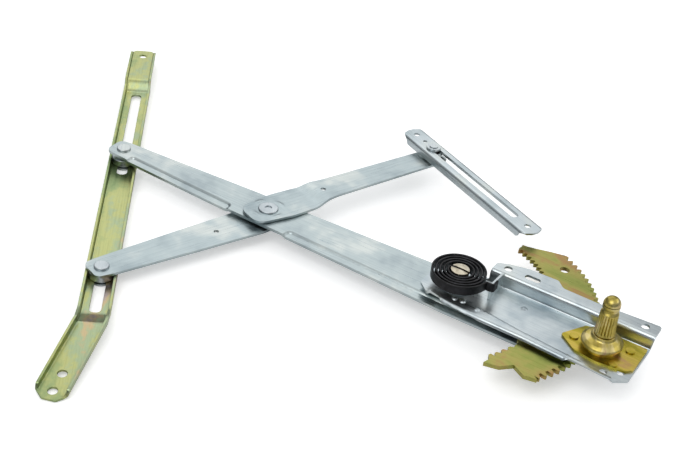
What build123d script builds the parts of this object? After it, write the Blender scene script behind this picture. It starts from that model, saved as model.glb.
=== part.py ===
"""Hand-cranked X-arm window regulator, left lying on its back with the crank spindle up.

Frame: millimetres. The origin is on the crank spindle's axis, in the plane of the mounting flange
that bolts against the door's inner panel. +Z runs out along the spindle, +X along the glass channel.
Everything hangs behind the flange, so most heights are negative.
"""
from build123d import *
from math import acos, cos, degrees, pi, radians, sin, tan
import os

# ---------------------------------------------------------------- linkage
PIVOT_TO_CENTRE = 177.0        # lift arm pivot to scissor centre, and scissor centre to guide roller
CENTRE_TO_ROLLER = 153.0       # scissor centre to either channel roller
ARM_ANGLE = 56.0               # lift arm above the channel's direction, as the part lies
RAIL_ANGLE = 209.5             # direction in which the loose guide rail lies from its roller

# ---------------------------------------------------------------- gears
MODULE = 2.0
PINION_TEETH = 8
SECTOR_TEETH = 112             # on a full circle
PROFILE_SHIFT = 0.55           # keeps the small pinion from undercutting
PRESSURE_ANGLE = 20.0
BACKLASH = 0.08                # taken off each flank of both gears
SECTOR_FROM = 150.0            # first and last outer tooth, measured on the lift arm's own axes
SECTOR_TO = 242.0
SECTOR_BAND = 18.9             # the outer teeth's root circle down to the inner, blanked edge
INNER_CENTRE = (17.0, -2.0)
INNER_FROM = 155.0
INNER_TO = 248.0
SECTOR_TAIL_RADII = (104.5, 97.5, 88.0)    # its last outer tooth's horn
SECTOR_TAIL_ANGLES = (7.0, 12.5, 18.0)     # past the last tooth
SECTOR_HORN = [(-88.0, 58.0), (-77.0, 54.0), (-58.5, 65.0), (-60.0, 54.0), (-67.0, 38.0)]
SECTOR_HOLE = 4.0
SECTOR_HOLE_RADIUS = 99.0
SECTOR_RIVET = 3.0
SECTOR_RIVETS = [(-84.0, -15.0), (-84.0, 15.0), (-92.0, 0.0)]

# ---------------------------------------------------------------- sheet and levels
BASE_SHEET = 2.0
ARM_SHEET = 2.5
LINK_SHEET = 2.2
SECTOR_SHEET = 3.5
CHANNEL_SHEET = 2.0
RAIL_SHEET = 1.8
PLATE_SHEET = 1.6
TRAY_DEPTH = 12.0              # flange face down to the tray floor
FLOOR_GAP = 0.5                # tray floor to sector
LINK_GAP = 0.4                 # between arms that pass over each other
EMBOSS = 1.5                   # depth of the lift arm's pressed panels
FRONT_JOGGLE = 3.4             # step of the front link, towards the door's inside
FRONT_JOG = (40.0, 50.0)       # where along the link it steps
ROLLER_GAP = 0.4               # roller faces to the web they straddle

FLANGE_TOP = 0.0
FLOOR_TOP = FLANGE_TOP - TRAY_DEPTH
FLOOR_BACK = FLOOR_TOP - BASE_SHEET
SECTOR_TOP = FLOOR_BACK - FLOOR_GAP
ARM_TOP = SECTOR_TOP - SECTOR_SHEET
ARM_BACK = ARM_TOP - ARM_SHEET
PANEL_BACK = ARM_BACK - EMBOSS
FRONT_LINK_BACK = ARM_TOP + LINK_GAP
FRONT_LINK_TOP = FRONT_LINK_BACK + LINK_SHEET
GUIDE_LINK_BACK = FRONT_LINK_BACK + FRONT_JOGGLE
GUIDE_LINK_TOP = GUIDE_LINK_BACK + LINK_SHEET
BACK_LINK_TOP = PANEL_BACK - LINK_GAP
BACK_LINK_BACK = BACK_LINK_TOP - LINK_SHEET

# ---------------------------------------------------------------- studs, rollers, channel and rail
STUD_RADIUS = 3.0
STUD_CLEARANCE = 0.05
STUD_HEAD_RADIUS = 6.0
STUD_HEAD = 1.7
STUD_COLLAR_RADIUS = 5.6
STAKED_RADIUS = 4.6
STAKED_HEAD = 0.8
SIDE_CLEARANCE = 0.3
SLOT_CLEARANCE = 0.2
ROLLER_RADIUS = 10.0
ROLLER_THICKNESS = 5.8
NECK_RADIUS = 4.3
KEEPER_RADIUS = 8.5
KEEPER_THICKNESS = 1.7

CHANNEL_ROLLER_TOP = BACK_LINK_BACK - 0.6
CHANNEL_WEB_TOP = CHANNEL_ROLLER_TOP - ROLLER_THICKNESS - ROLLER_GAP
CHANNEL_WEB_BACK = CHANNEL_WEB_TOP - CHANNEL_SHEET
CHANNEL_RIM = BACK_LINK_BACK - LINK_GAP
CHANNEL_KEEPER_BACK = CHANNEL_WEB_BACK - SLOT_CLEARANCE - KEEPER_THICKNESS
CHANNEL_HALF = ROLLER_RADIUS + SIDE_CLEARANCE + CHANNEL_SHEET
REAR_SLOT = (-46.0, 5.0)       # slot ends, measured from the equaliser's roller
FRONT_SLOT = (150.0, 296.5)
SHORT_JOG = (303.0, 312.0)
SHORT_STEP = 8.0
SHORT_END = 375.0
SHORT_RIM = 4.5
LONG_STEP_FOOT = -48.0         # the long end steps up from here to its fold
LONG_FOLD = -66.5
LONG_STEP = 6.0
LONG_END = 78.0                # length past the fold
LONG_FALL = 6.0                # its slope back towards the door's outside
LONG_YAW = 15.0                # and its swing away from the pivot
LONG_RIM = 7.5
LONG_HOLES = (LONG_END - 25.0, LONG_END - 8.0)
CHANNEL_HOLE = 3.6

RAIL_ROLLER_RADIUS = 8.6
RAIL_ROLLER_THICKNESS = 5.2
RAIL_NECK = 3.4
RAIL_KEEPER_RADIUS = 6.6
RAIL_ROLLER_BACK = GUIDE_LINK_TOP + 1.3
RAIL_WEB_BACK = RAIL_ROLLER_BACK + RAIL_ROLLER_THICKNESS + ROLLER_GAP
RAIL_WEB_TOP = RAIL_WEB_BACK + RAIL_SHEET
RAIL_RIM = GUIDE_LINK_TOP + 1.2
RAIL_KEEPER_TOP = RAIL_WEB_TOP + SLOT_CLEARANCE + KEEPER_THICKNESS
RAIL_HALF = RAIL_ROLLER_RADIUS + SIDE_CLEARANCE + RAIL_SHEET
RAIL_ENDS = (-36.0, 147.0)     # measured from the roller along the rail
RAIL_SLOT = (-4.0, 121.0)
RAIL_HOLES = (-26.0, 136.0)
RAIL_SPARE_HOLE = -13.0
RAIL_HOLE = 2.6
RAIL_CORNER = 8.0
RAIL_RIM_INSET = 10.0
GUIDE_STUD = 2.4
HOLE_EASE = 0.02               # holes of fixed rivets and studs over their shanks

# ---------------------------------------------------------------- pivots
PIVOT_JOURNAL = 8.0
PIVOT_SHANK = 6.0
PIVOT_SHOULDER = 11.0
PIVOT_HEAD = 7.2
PIVOT_CLEARANCE = 0.05
PIVOT_TOP = 3.6
WASHER_RADIUS = 12.0
WASHER = 1.2
SLEEVE_RADIUS = 9.0
SLEEVE_TENON = 6.0
SLEEVE_HEAD = 8.4
SLEEVE_FLANGE = 1.3

# ---------------------------------------------------------------- counterbalance spring
STRIP = 1.6
SPRING_HALF_STEP = 1.55        # radius gained in each half turn
SPRING_INNER = 9.0
SPRING_HALF_TURNS = 9
SPRING_LOW = FLOOR_TOP + 1.6
SPRING_HIGH = 3.0
SPRING_LEG = -3.0              # where the outer leg runs, below the pivot's centre line
ANCHOR_X = -46.3
ANCHOR_HEIGHT = 1.0            # top of the anchor tab above the flange

# ---------------------------------------------------------------- brake, spindle and pinion housing
CUP_CLEARANCE = 0.5
CUP_WALL = 1.8
CUP_FLOOR = ARM_TOP - 4.5
JOURNAL_RADIUS = 4.0
PINION_BACK = ARM_TOP - 2.0
PINION_TOP = FLOOR_TOP - 0.4
DRUM_FLANGE = 15.0
DRUM_RADIUS = 12.6
DRUM_HEIGHT = 9.0
DRUM_NECK = 8.6
DRUM_NECK_TOP = 2.5
DRUM_WALL = 1.6
WRAP_CLEARANCE = 0.08
WRAP_WIRE = 1.7
SPINDLE_RADIUS = 7.0
SPINDLE_CLEARANCE = 0.06
DRIVER_RADIUS = 8.2
SPLINE_RADIUS = 6.6
SPLINE_DEPTH = 0.7
SPLINES = 20
SPLINE_FOOT = 4.5
SPLINE_TOP = 22.0
GROOVE_RADIUS = 5.2
KNOB_FOOT = 26.0
KNOB_RADIUS = 6.2
KNOB_LAND = 3.6

# ---------------------------------------------------------------- tray
# outlines on the tray's own axes: X from the spindle to the lift arm's pivot, Y across
TRAY_END = -31.0
WALL_Y = -24.0
WALL_END = 103.0
FLOOR_OUTLINE = [(TRAY_END, WALL_Y), (TRAY_END, 22.0), (-19.0, 28.5), (60.0, 33.5), (104.0, 32.5),
                 (124.0, 26.0), (146.0, 12.0), (146.0, -16.0), (128.0, WALL_Y)]
FLANGE_OUTLINE = [(TRAY_END - 1.0, -40.0), (TRAY_END - 1.0, WALL_Y + 1.0), (WALL_END, WALL_Y + 1.0),
                  (101.0, -43.0), (95.0, -47.0), (64.0, -47.0), (57.0, -40.0)]
RIM_LINE = [(-19.0, 27.5), (60.0, 32.5), (104.0, 31.5), (124.0, 25.0)]
RIM_RISE = 3.0
RIM_WIDTH = 8.0
BASE_BOLTS = [(-21.0, -32.0), (93.0, -32.0)]
BASE_BOLT = 3.4
PLATE_OUTLINE = [(27.0, 3.0), (17.0, -17.0), (-14.0, -20.0), (-27.0, -12.0), (-25.0, 13.0), (-3.0, 20.0),
                 (15.0, 17.0)]
PLATE_RIVETS = [(21.0, 1.0), (-20.0, -9.5), (-15.0, 13.5)]
PLATE_RIVET = 2.0

# ---------------------------------------------------------------- arms, as (x, half width) stations
ARM_REACH = PIVOT_TO_CENTRE + CENTRE_TO_ROLLER
ARM_STATIONS = [(-98.0, 22.0), (-84.0, 25.0), (0.0, 25.5), (150.0, 19.5), (200.0, 18.5), (ARM_REACH, 11.5),
                (ARM_REACH + 11.0, 10.0)]
LONG_PANEL = [(-57.0, 17.0), (PIVOT_TO_CENTRE - 23.0, 11.5)]
SHORT_PANEL = [(PIVOT_TO_CENTRE + 29.0, 9.5), (ARM_REACH - 26.0, 6.0)]
FRONT_STATIONS = [(-20.0, 14.0), (14.0, 18.0), (36.0, 17.0), (62.0, 13.5), (PIVOT_TO_CENTRE, 12.0),
                  (PIVOT_TO_CENTRE + 10.0, 11.0)]
BACK_STATIONS = [(-22.0, 14.0), (16.0, 18.0), (40.0, 17.0), (80.0, 15.5), (CENTRE_TO_ROLLER, 12.0),
                 (CENTRE_TO_ROLLER + 10.0, 10.5)]
LINK_CORNERS = (11.0, 9.0)
FRONT_LINK_HOLE = 56.0
BACK_LINK_HOLE = 50.0
LINK_HOLE = 2.2
LABEL = 0.2
LABEL_LENGTH = 29.0
LABEL_WIDTH = 41.0
LABEL_CENTRE = -78.5

# ---------------------------------------------------------------- derived layout
SECTOR_PITCH = MODULE * SECTOR_TEETH / 2
PINION_PITCH = MODULE * PINION_TEETH / 2
PIVOT_DISTANCE = SECTOR_PITCH + PINION_PITCH
SECTOR_TIP = SECTOR_PITCH + MODULE * (0.95 - PROFILE_SHIFT)
SECTOR_ROOT = SECTOR_PITCH - MODULE * (1.25 + PROFILE_SHIFT)
INNER_RADIUS = SECTOR_ROOT - SECTOR_BAND
PINION_TIP = PINION_PITCH + MODULE * (0.95 + PROFILE_SHIFT)
PINION_ROOT = PINION_PITCH - MODULE * (1.25 - PROFILE_SHIFT)
CUP_INNER = PINION_TIP + CUP_CLEARANCE
DRUM_LOW = FLOOR_TOP + PLATE_SHEET
DRUM_HIGH = DRUM_LOW + DRUM_HEIGHT
DRUM_ROOF = DRUM_HIGH - DRUM_WALL - 1.2
CUP_OUTER = CUP_INNER + CUP_WALL
LINK_ANGLE = -ARM_ANGLE        # direction from the scissor centre to the guide roller


def along(start, length, angle):
    """Point at a length and an angle from a start point."""
    return (start[0] + length * cos(radians(angle)), start[1] + length * sin(radians(angle)))


SPINDLE = (0.0, 0.0)
PIVOT = along(SPINDLE, PIVOT_DISTANCE, ARM_ANGLE)
CENTRE = along(PIVOT, PIVOT_TO_CENTRE, ARM_ANGLE)
ARM_ROLLER = along(CENTRE, CENTRE_TO_ROLLER, ARM_ANGLE)
GUIDE_ROLLER = along(CENTRE, PIVOT_TO_CENTRE, LINK_ANGLE)
LINK_ROLLER = along(CENTRE, -CENTRE_TO_ROLLER, LINK_ANGLE)


# ---------------------------------------------------------------- helpers
def slab(sketch, low, high):
    """A flat sketch made into a plate between two heights."""
    return Pos(0, 0, low) * extrude(sketch, high - low)


def disc(radius, low, high, at=(0.0, 0.0)):
    """A round plate between two heights."""
    return Pos(at[0], at[1], (low + high) / 2) * Cylinder(radius, high - low)


def place(shape, point, angle=0.0):
    """Turn a piece from its own axes and move it to its pivot."""
    return Pos(point[0], point[1], 0) * Rot(0, 0, angle) * shape


def polygon(points):
    """A closed outline through the points."""
    return make_face(Polyline(*points, close=True))


def rounded(points, radius):
    """A closed outline with every corner rounded."""
    face = polygon(points)
    return fillet(face.vertices(), radius)


def strip_outline(stations, radius_start, radius_end):
    """A strip whose half width follows (x, half width) stations, with rounded ends."""
    upper = [(x, half) for x, half in stations]
    lower = [(x, -half) for x, half in reversed(stations)]
    face = polygon(upper + lower)
    face = fillet(face.vertices().sort_by(Axis.X)[:2], radius_start)
    return fillet(face.vertices().sort_by(Axis.X)[-2:], radius_end)


def slot(start, end, half):
    """A round-ended slot along X between its two extreme ends."""
    return Pos((start + end) / 2, 0) * SlotOverall(end - start, 2 * half)


def holes(points, radius):
    """Round holes of one size, as one sketch."""
    return Sketch() + [Pos(x, y) * Circle(radius) for x, y in points]


def side_band(line, thickness):
    """A band of constant depth above a line of (x, z) points, drawn in the XZ plane."""
    upper = [(x, z + thickness) for x, z in reversed(line)]
    return Plane.XZ * polygon(line + upper)


# ---------------------------------------------------------------- gears
def half_angle(teeth, shift, radius):
    """Half the angle that an involute tooth, thinned by the backlash, covers at a radius."""
    pitch = MODULE * teeth / 2
    base = pitch * cos(radians(PRESSURE_ANGLE))
    at_pitch = (pi / 2 + 2 * shift * tan(radians(PRESSURE_ANGLE))) / teeth - BACKLASH / pitch
    phi = acos(min(1.0, base / radius))
    involute = tan(radians(PRESSURE_ANGLE)) - radians(PRESSURE_ANGLE) - (tan(phi) - phi)
    return at_pitch + involute


def tooth(teeth, shift, root, tip, steps):
    """One tooth along +X, from inside its root circle to its tip."""
    base = MODULE * teeth / 2 * cos(radians(PRESSURE_ANGLE))
    start = max(root, base)
    radii = [start + (tip - start) * i / steps for i in range(steps + 1)]
    flank = [(r * cos(half_angle(teeth, shift, r)), r * sin(half_angle(teeth, shift, r))) for r in radii]
    foot = half_angle(teeth, shift, start)
    side = [((root - 1.0) * cos(foot), (root - 1.0) * sin(foot))] + flank
    return polygon(side + [(x, -y) for x, y in reversed(side)])


def sector_blank():
    """Crescent between the outer root circle and the blanked inner edge, with its two horns."""
    ring = Circle(SECTOR_ROOT) - Pos(*INNER_CENTRE) * Circle(INNER_RADIUS)
    far = 3 * SECTOR_ROOT
    tail = [(SECTOR_TIP, 1.4)] + list(zip(SECTOR_TAIL_RADII, SECTOR_TAIL_ANGLES))
    window = polygon([(0, 0)] + [along((0, 0), far, a) for a in (SECTOR_FROM - 1.0, 192.0, SECTOR_TO + 1.0)]
                     + [along((0, 0), r, SECTOR_TO + a) for r, a in tail])
    shoulder = polygon([along((0, 0), r, SECTOR_TO + a) for r, a in
                        ((SECTOR_ROOT - 8, -2.0), (SECTOR_TIP, -0.2), tail[0], tail[1])])
    root = [along((0, 0), r, SECTOR_FROM + a) for r, a in
            ((SECTOR_ROOT - 8, 1.0), (SECTOR_TIP, 0.5), (SECTOR_TIP, -1.5))]
    return (ring & window) + shoulder + polygon(root + SECTOR_HORN)


def inner_tooth():
    """A blunt tooth on the blanked inner edge, pointing to the edge's centre."""
    reach = INNER_RADIUS - 2.8
    return polygon([(INNER_RADIUS + 0.6, 2.6), (reach, 0.8), (reach, -0.8), (INNER_RADIUS + 0.6, -2.6)])


def sector_gear():
    """Sector gear on the lift arm's axes: involute teeth outside, blanking teeth inside."""
    pitch_angle = 360.0 / SECTOR_TEETH
    # a gap lies on the line to the pinion, where one of its teeth enters
    first = int((SECTOR_FROM - 180.0) / pitch_angle) - 0.5
    count = int((SECTOR_TO - SECTOR_FROM) / pitch_angle)
    single = tooth(SECTOR_TEETH, -PROFILE_SHIFT, SECTOR_ROOT, SECTOR_TIP, 2)
    face = sector_blank() + [Rot(0, 0, 180.0 + (first + i) * pitch_angle) * single for i in range(count + 1)]
    inner_pitch = degrees(pi * MODULE / INNER_RADIUS)
    inner_count = int((INNER_TO - INNER_FROM) / inner_pitch)
    inner = inner_tooth()
    face += [Pos(*INNER_CENTRE) * Rot(0, 0, INNER_FROM + i * inner_pitch) * inner for i in range(inner_count)]
    face -= holes([along((0, 0), SECTOR_HOLE_RADIUS, SECTOR_TO - 7.0)], SECTOR_HOLE)
    face -= holes(SECTOR_RIVETS, SECTOR_RIVET + HOLE_EASE)
    return slab(face, ARM_TOP, SECTOR_TOP)


def sector_rivets():
    """Flush rivets that clamp the sector to the lift arm."""
    return Compound(children=[disc(SECTOR_RIVET, ARM_BACK, SECTOR_TOP, at) for at in SECTOR_RIVETS])


def pinion():
    """Eight-tooth pinion with its bore for the spindle, one tooth towards the lift arm's pivot."""
    single = tooth(PINION_TEETH, PROFILE_SHIFT, PINION_ROOT, PINION_TIP, 5)
    face = Circle(PINION_ROOT) + [Rot(0, 0, i * 360.0 / PINION_TEETH) * single for i in range(PINION_TEETH)]
    face -= Circle(JOURNAL_RADIUS + 0.02)
    return slab(face, PINION_BACK, PINION_TOP)


# ---------------------------------------------------------------- lift arm and equaliser
def press(plate, outline):
    """Press a panel towards the back: a tapered boss behind and the same hollow in front."""
    boss = Pos(0, 0, ARM_BACK) * extrude(outline, EMBOSS, dir=(0, 0, -1), taper=30)
    hollow = Pos(0, 0, ARM_TOP) * extrude(offset(outline, -ARM_SHEET / 3), EMBOSS, dir=(0, 0, -1), taper=30)
    return plate + boss - hollow


def lift_arm():
    """Lift arm on its own axes: pivot at the origin, roller stud near the far end."""
    plate = slab(strip_outline(ARM_STATIONS, 7.0, 9.0), ARM_BACK, ARM_TOP)
    plate = press(plate, strip_outline(LONG_PANEL, 7.0, 7.0))
    plate = press(plate, strip_outline(SHORT_PANEL, 4.5, 4.5))
    cuts = holes([(0.0, 0.0)], PIVOT_SHANK + HOLE_EASE) + holes([(ARM_REACH, 0.0)], STUD_RADIUS + HOLE_EASE)
    cuts += holes([(PIVOT_TO_CENTRE, 0.0)], SLEEVE_RADIUS + PIVOT_CLEARANCE)
    cuts += holes(SECTOR_RIVETS, SECTOR_RIVET + HOLE_EASE)
    return plate - slab(cuts, PANEL_BACK - 1, ARM_TOP + 1)


def joggled(outline, line, sheet):
    """A flat outline pressed to follow a side line of (x, z) points."""
    return extrude(side_band(line, sheet), 40, both=True) & slab(outline, -60, 20)


def front_link():
    """Equaliser arm in front of the lift arm, from the scissor centre to the guide roller."""
    face = strip_outline(FRONT_STATIONS, *LINK_CORNERS)
    face -= holes([(0.0, 0.0)], SLEEVE_TENON + HOLE_EASE) + holes([(FRONT_LINK_HOLE, 0.0)], LINK_HOLE)
    face -= holes([(PIVOT_TO_CENTRE, 0.0)], STUD_RADIUS + HOLE_EASE)
    line = [(2 * FRONT_STATIONS[0][0], FRONT_LINK_BACK), (FRONT_JOG[0], FRONT_LINK_BACK),
            (FRONT_JOG[1], GUIDE_LINK_BACK), (FRONT_STATIONS[-1][0] + 1, GUIDE_LINK_BACK)]
    return joggled(face, line, LINK_SHEET)


def back_link():
    """Equaliser arm behind the lift arm, from the scissor centre to the channel roller."""
    face = strip_outline(BACK_STATIONS, *LINK_CORNERS)
    face -= holes([(0.0, 0.0)], SLEEVE_TENON + HOLE_EASE) + holes([(BACK_LINK_HOLE, 0.0)], LINK_HOLE)
    face -= holes([(CENTRE_TO_ROLLER, 0.0)], STUD_RADIUS + HOLE_EASE)
    return slab(face, BACK_LINK_BACK, BACK_LINK_TOP)


def centre_sleeve():
    """Sleeve that joins the two equaliser arms through the lift arm, headed in front and staked behind."""
    body = disc(SLEEVE_RADIUS, BACK_LINK_TOP, FRONT_LINK_BACK)
    body += disc(SLEEVE_TENON, BACK_LINK_BACK, FRONT_LINK_TOP)
    head = disc(SLEEVE_HEAD, FRONT_LINK_TOP, FRONT_LINK_TOP + SLEEVE_FLANGE)
    body += fillet(head.edges().sort_by(Axis.Z)[-1], 0.9)
    body += disc(SLEEVE_HEAD, BACK_LINK_BACK - SLEEVE_FLANGE / 2, BACK_LINK_BACK)
    low, high = BACK_LINK_BACK - 2, BACK_LINK_BACK - 0.1
    stakes = [disc(1.1, low, high, along((0, 0), 4.8, 45 + 90 * i)) for i in range(4)]
    return body - stakes - disc(3.0, FRONT_LINK_TOP + 0.5, FRONT_LINK_TOP + 3)


# ---------------------------------------------------------------- rollers and studs
def channel_roller():
    """Spool for a slot of the glass channel: roller in front of the web, keeper disc behind it."""
    spool = disc(ROLLER_RADIUS, CHANNEL_ROLLER_TOP - ROLLER_THICKNESS, CHANNEL_ROLLER_TOP)
    spool = fillet(spool.edges().filter_by(GeomType.CIRCLE), 0.6)
    spool += disc(NECK_RADIUS, CHANNEL_KEEPER_BACK, CHANNEL_ROLLER_TOP - 1)
    spool += disc(KEEPER_RADIUS, CHANNEL_KEEPER_BACK, CHANNEL_KEEPER_BACK + KEEPER_THICKNESS)
    return spool - disc(STUD_RADIUS + STUD_CLEARANCE, -60, 0)


def channel_stud(sheet_top, sheet_back):
    """Stud of a channel roller: button head in front of the arm, collar behind it, staked end."""
    head = disc(STUD_HEAD_RADIUS, sheet_top, sheet_top + STUD_HEAD)
    pin = fillet(head.edges().sort_by(Axis.Z)[-1], 0.8)
    pin += disc(STUD_RADIUS, CHANNEL_KEEPER_BACK - STAKED_HEAD, sheet_top)
    pin += disc(STUD_COLLAR_RADIUS, CHANNEL_ROLLER_TOP + 0.1, sheet_back)
    return pin + disc(STAKED_RADIUS, CHANNEL_KEEPER_BACK - STAKED_HEAD, CHANNEL_KEEPER_BACK - 0.1)


def guide_roller():
    """Spool of the guide rail: roller behind the rail's web, keeper disc in front of it."""
    spool = disc(RAIL_ROLLER_RADIUS, RAIL_ROLLER_BACK, RAIL_ROLLER_BACK + RAIL_ROLLER_THICKNESS)
    spool = fillet(spool.edges().filter_by(GeomType.CIRCLE), 0.6)
    spool += disc(RAIL_NECK, RAIL_ROLLER_BACK + 1, RAIL_KEEPER_TOP)
    spool += disc(RAIL_KEEPER_RADIUS, RAIL_KEEPER_TOP - KEEPER_THICKNESS, RAIL_KEEPER_TOP)
    return spool - disc(GUIDE_STUD + STUD_CLEARANCE, -60, 20)


def guide_stud():
    """Stud of the guide roller: headed behind the equaliser arm, staked in front of the keeper."""
    pin = disc(GUIDE_STUD, GUIDE_LINK_TOP, RAIL_KEEPER_TOP + STAKED_HEAD)
    pin += disc(STUD_RADIUS, GUIDE_LINK_BACK, GUIDE_LINK_TOP)
    pin += disc(STUD_HEAD_RADIUS, GUIDE_LINK_BACK - 1.2, GUIDE_LINK_BACK)
    pin += disc(STUD_COLLAR_RADIUS, GUIDE_LINK_TOP, RAIL_ROLLER_BACK - 0.1)
    return pin + disc(GUIDE_STUD + 1.5, RAIL_KEEPER_TOP + 0.1, RAIL_KEEPER_TOP + STAKED_HEAD)


# ---------------------------------------------------------------- glass channel and guide rail
def u_section(line, rims, half, sheet):
    """U section: a web that follows one line of (x, z) points, with rims up to another line."""
    web = extrude(side_band(line, sheet), half, both=True)
    rim = Plane.XZ * polygon(line + list(reversed(rims)))
    return web + (extrude(rim, half, both=True) - extrude(rim, half - sheet, both=True))


def nose_cuts(x, inset, half, low, high):
    """Two wedges that chamfer the corners of a U section's end."""
    step = inset if x > 0 else -inset
    wedge = polygon([(x - step, half + 1), (x + step / 5, half - inset), (x + step / 5, half + 1)])
    return slab(wedge + mirror(wedge, Plane.XZ), low, high)


def long_end():
    """The channel's bent end with its two bolt holes, on its own axes with the fold at the origin."""
    piece = u_section([(-LONG_END, 0.0), (2.0, 0.0)], [(-LONG_END, LONG_RIM - 1.5), (2.0, LONG_RIM)],
                      CHANNEL_HALF, CHANNEL_SHEET)
    piece -= slab(holes([(-x, 0.0) for x in LONG_HOLES], CHANNEL_HOLE), -5, 10)
    return piece - nose_cuts(-LONG_END, 4.0, CHANNEL_HALF, -5, 20)


def glass_channel():
    """Channel that carries the glass, on its own axes: X along it, the link roller at the origin."""
    low = CHANNEL_WEB_BACK
    line = [(LONG_FOLD - 2, low + LONG_STEP), (LONG_FOLD, low + LONG_STEP), (LONG_STEP_FOOT, low),
            (SHORT_JOG[0], low), (SHORT_JOG[1], low + SHORT_STEP), (SHORT_END, low + SHORT_STEP)]
    rims = [(LONG_FOLD - 2, low + LONG_STEP + LONG_RIM), (LONG_FOLD, low + LONG_STEP + LONG_RIM),
            (LONG_STEP_FOOT, CHANNEL_RIM), (SHORT_JOG[0], CHANNEL_RIM),
            (SHORT_JOG[1], low + SHORT_STEP + SHORT_RIM + 1), (SHORT_END, low + SHORT_STEP + SHORT_RIM)]
    body = u_section(line, rims, CHANNEL_HALF, CHANNEL_SHEET)
    cuts = slot(REAR_SLOT[0], REAR_SLOT[1], NECK_RADIUS + SLOT_CLEARANCE)
    cuts += slot(FRONT_SLOT[0], FRONT_SLOT[1], NECK_RADIUS + SLOT_CLEARANCE)
    cuts += holes([(SHORT_END - 12.0, 0.0)], CHANNEL_HOLE)
    body -= slab(cuts, low - 5, low + 20)
    body -= nose_cuts(SHORT_END, 5.0, CHANNEL_HALF, low - 5, CHANNEL_RIM + 2 * SHORT_STEP)
    fold = Pos(LONG_FOLD, 0, low + LONG_STEP) * Rot(0, 0, -LONG_YAW) * Rot(0, -LONG_FALL, 0)
    return body + fold * long_end()


def guide_rail():
    """Loose guide rail on its own axes: X along it, the guide roller at the origin."""
    start, end = RAIL_ENDS
    face = strip_outline([(start, RAIL_HALF), (end, RAIL_HALF)], RAIL_CORNER, RAIL_CORNER)
    rail = slab(face, RAIL_WEB_BACK, RAIL_WEB_TOP)
    height = RAIL_WEB_TOP - RAIL_RIM
    for side in (-1, 1):
        centre = Pos((start + end) / 2, side * (RAIL_HALF - RAIL_SHEET / 2), RAIL_RIM + height / 2)
        rail += centre * Box(end - start - 2 * RAIL_RIM_INSET, RAIL_SHEET, height)
    cuts = slot(RAIL_SLOT[0], RAIL_SLOT[1], RAIL_NECK + SLOT_CLEARANCE)
    cuts += holes([(x, 0.0) for x in RAIL_HOLES], RAIL_HOLE) + holes([(RAIL_SPARE_HOLE, 0.0)], 1.8)
    return rail - slab(cuts, RAIL_RIM - 5, RAIL_WEB_TOP + 5)


# ---------------------------------------------------------------- tray and what is fixed to it
def offset_line(line, rise):
    """A copy of a line, moved across, its last point leaning out."""
    x, y = line[-1]
    return [(x, y + rise) for x, y in line[:-1]] + [(x + rise / 4, y + rise)]


def tray_rim():
    """Low wall and narrow raised rim along the tray's open side."""
    wall = polygon(RIM_LINE + list(reversed(offset_line(RIM_LINE, BASE_SHEET))))
    band = rounded(RIM_LINE + list(reversed(offset_line(RIM_LINE, RIM_WIDTH))), 1.5)
    loop = Pos(106.0, 36.0) * SlotOverall(20.0, 4.6)
    rim = slab(wall, FLOOR_BACK, FLOOR_TOP + RIM_RISE)
    rim += slab(band - loop, FLOOR_TOP + RIM_RISE - BASE_SHEET, FLOOR_TOP + RIM_RISE)
    for x, y in ((52.0, 36.5), (88.0, 36.5)):
        bump = disc(2.2, FLOOR_TOP + 1.5, FLOOR_TOP + RIM_RISE + 1.0, (x, y))
        rim += fillet(bump.edges().sort_by(Axis.Z)[-1], 0.7)
    return rim


def pinion_cup():
    """Cup behind the tray that houses the pinion, with a journal for the spindle's rear end."""
    cup = disc(CUP_OUTER, CUP_FLOOR - CUP_WALL, FLOOR_TOP)
    cup = fillet(cup.edges().sort_by(Axis.Z)[0], 1.5)
    cup += disc(JOURNAL_RADIUS + 2.6, CUP_FLOOR - CUP_WALL - 1.2, CUP_FLOOR)
    return cup


def base_plate():
    """Pressed tray on the spindle-to-pivot axes, with a raised mounting flange and a pinion cup."""
    body = slab(rounded(FLOOR_OUTLINE, 3.0), FLOOR_BACK, FLOOR_TOP)
    wall = Pos((TRAY_END + WALL_END) / 2, WALL_Y, (FLANGE_TOP + FLOOR_BACK) / 2)
    body += wall * Box(WALL_END - TRAY_END, BASE_SHEET, FLANGE_TOP - FLOOR_BACK)
    body += slab(rounded(FLANGE_OUTLINE, 2.5), FLANGE_TOP - BASE_SHEET, FLANGE_TOP)
    body += tray_rim()
    body += pinion_cup()
    for x, y in ((-23.0, 17.0), (-12.0, 24.0)):
        body += disc(4.6, FLOOR_BACK - 1.0, FLOOR_BACK, (x, y))
    body -= disc(CUP_INNER, CUP_FLOOR, FLOOR_TOP + 1)
    body -= disc(JOURNAL_RADIUS + PIVOT_CLEARANCE, CUP_FLOOR - 10, CUP_FLOOR + 1)
    # the sector runs in through the cup's side, under the tray floor
    body -= disc(SECTOR_TIP + 0.8, ARM_TOP - 0.6, FLOOR_BACK, (PIVOT_DISTANCE, 0.0))
    body += anchor_tab()
    cuts = holes(BASE_BOLTS, BASE_BOLT) + holes([(-23.0, 17.0), (-12.0, 24.0)], 2.8)
    cuts += Pos(72.0, -32.0) * SlotOverall(13.0, 6.0)
    cuts += Pos(PIVOT_DISTANCE + ANCHOR_X + 9.0, SPRING_LEG - 5.0) * Rectangle(14.0, 8.0)
    cuts += holes([(PIVOT_DISTANCE, 0.0)], PIVOT_JOURNAL + PIVOT_CLEARANCE)
    cuts += holes(PLATE_RIVETS, PLATE_RIVET + HOLE_EASE)
    return body - slab(cuts, FLOOR_BACK - 2, FLANGE_TOP + 1)


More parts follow.
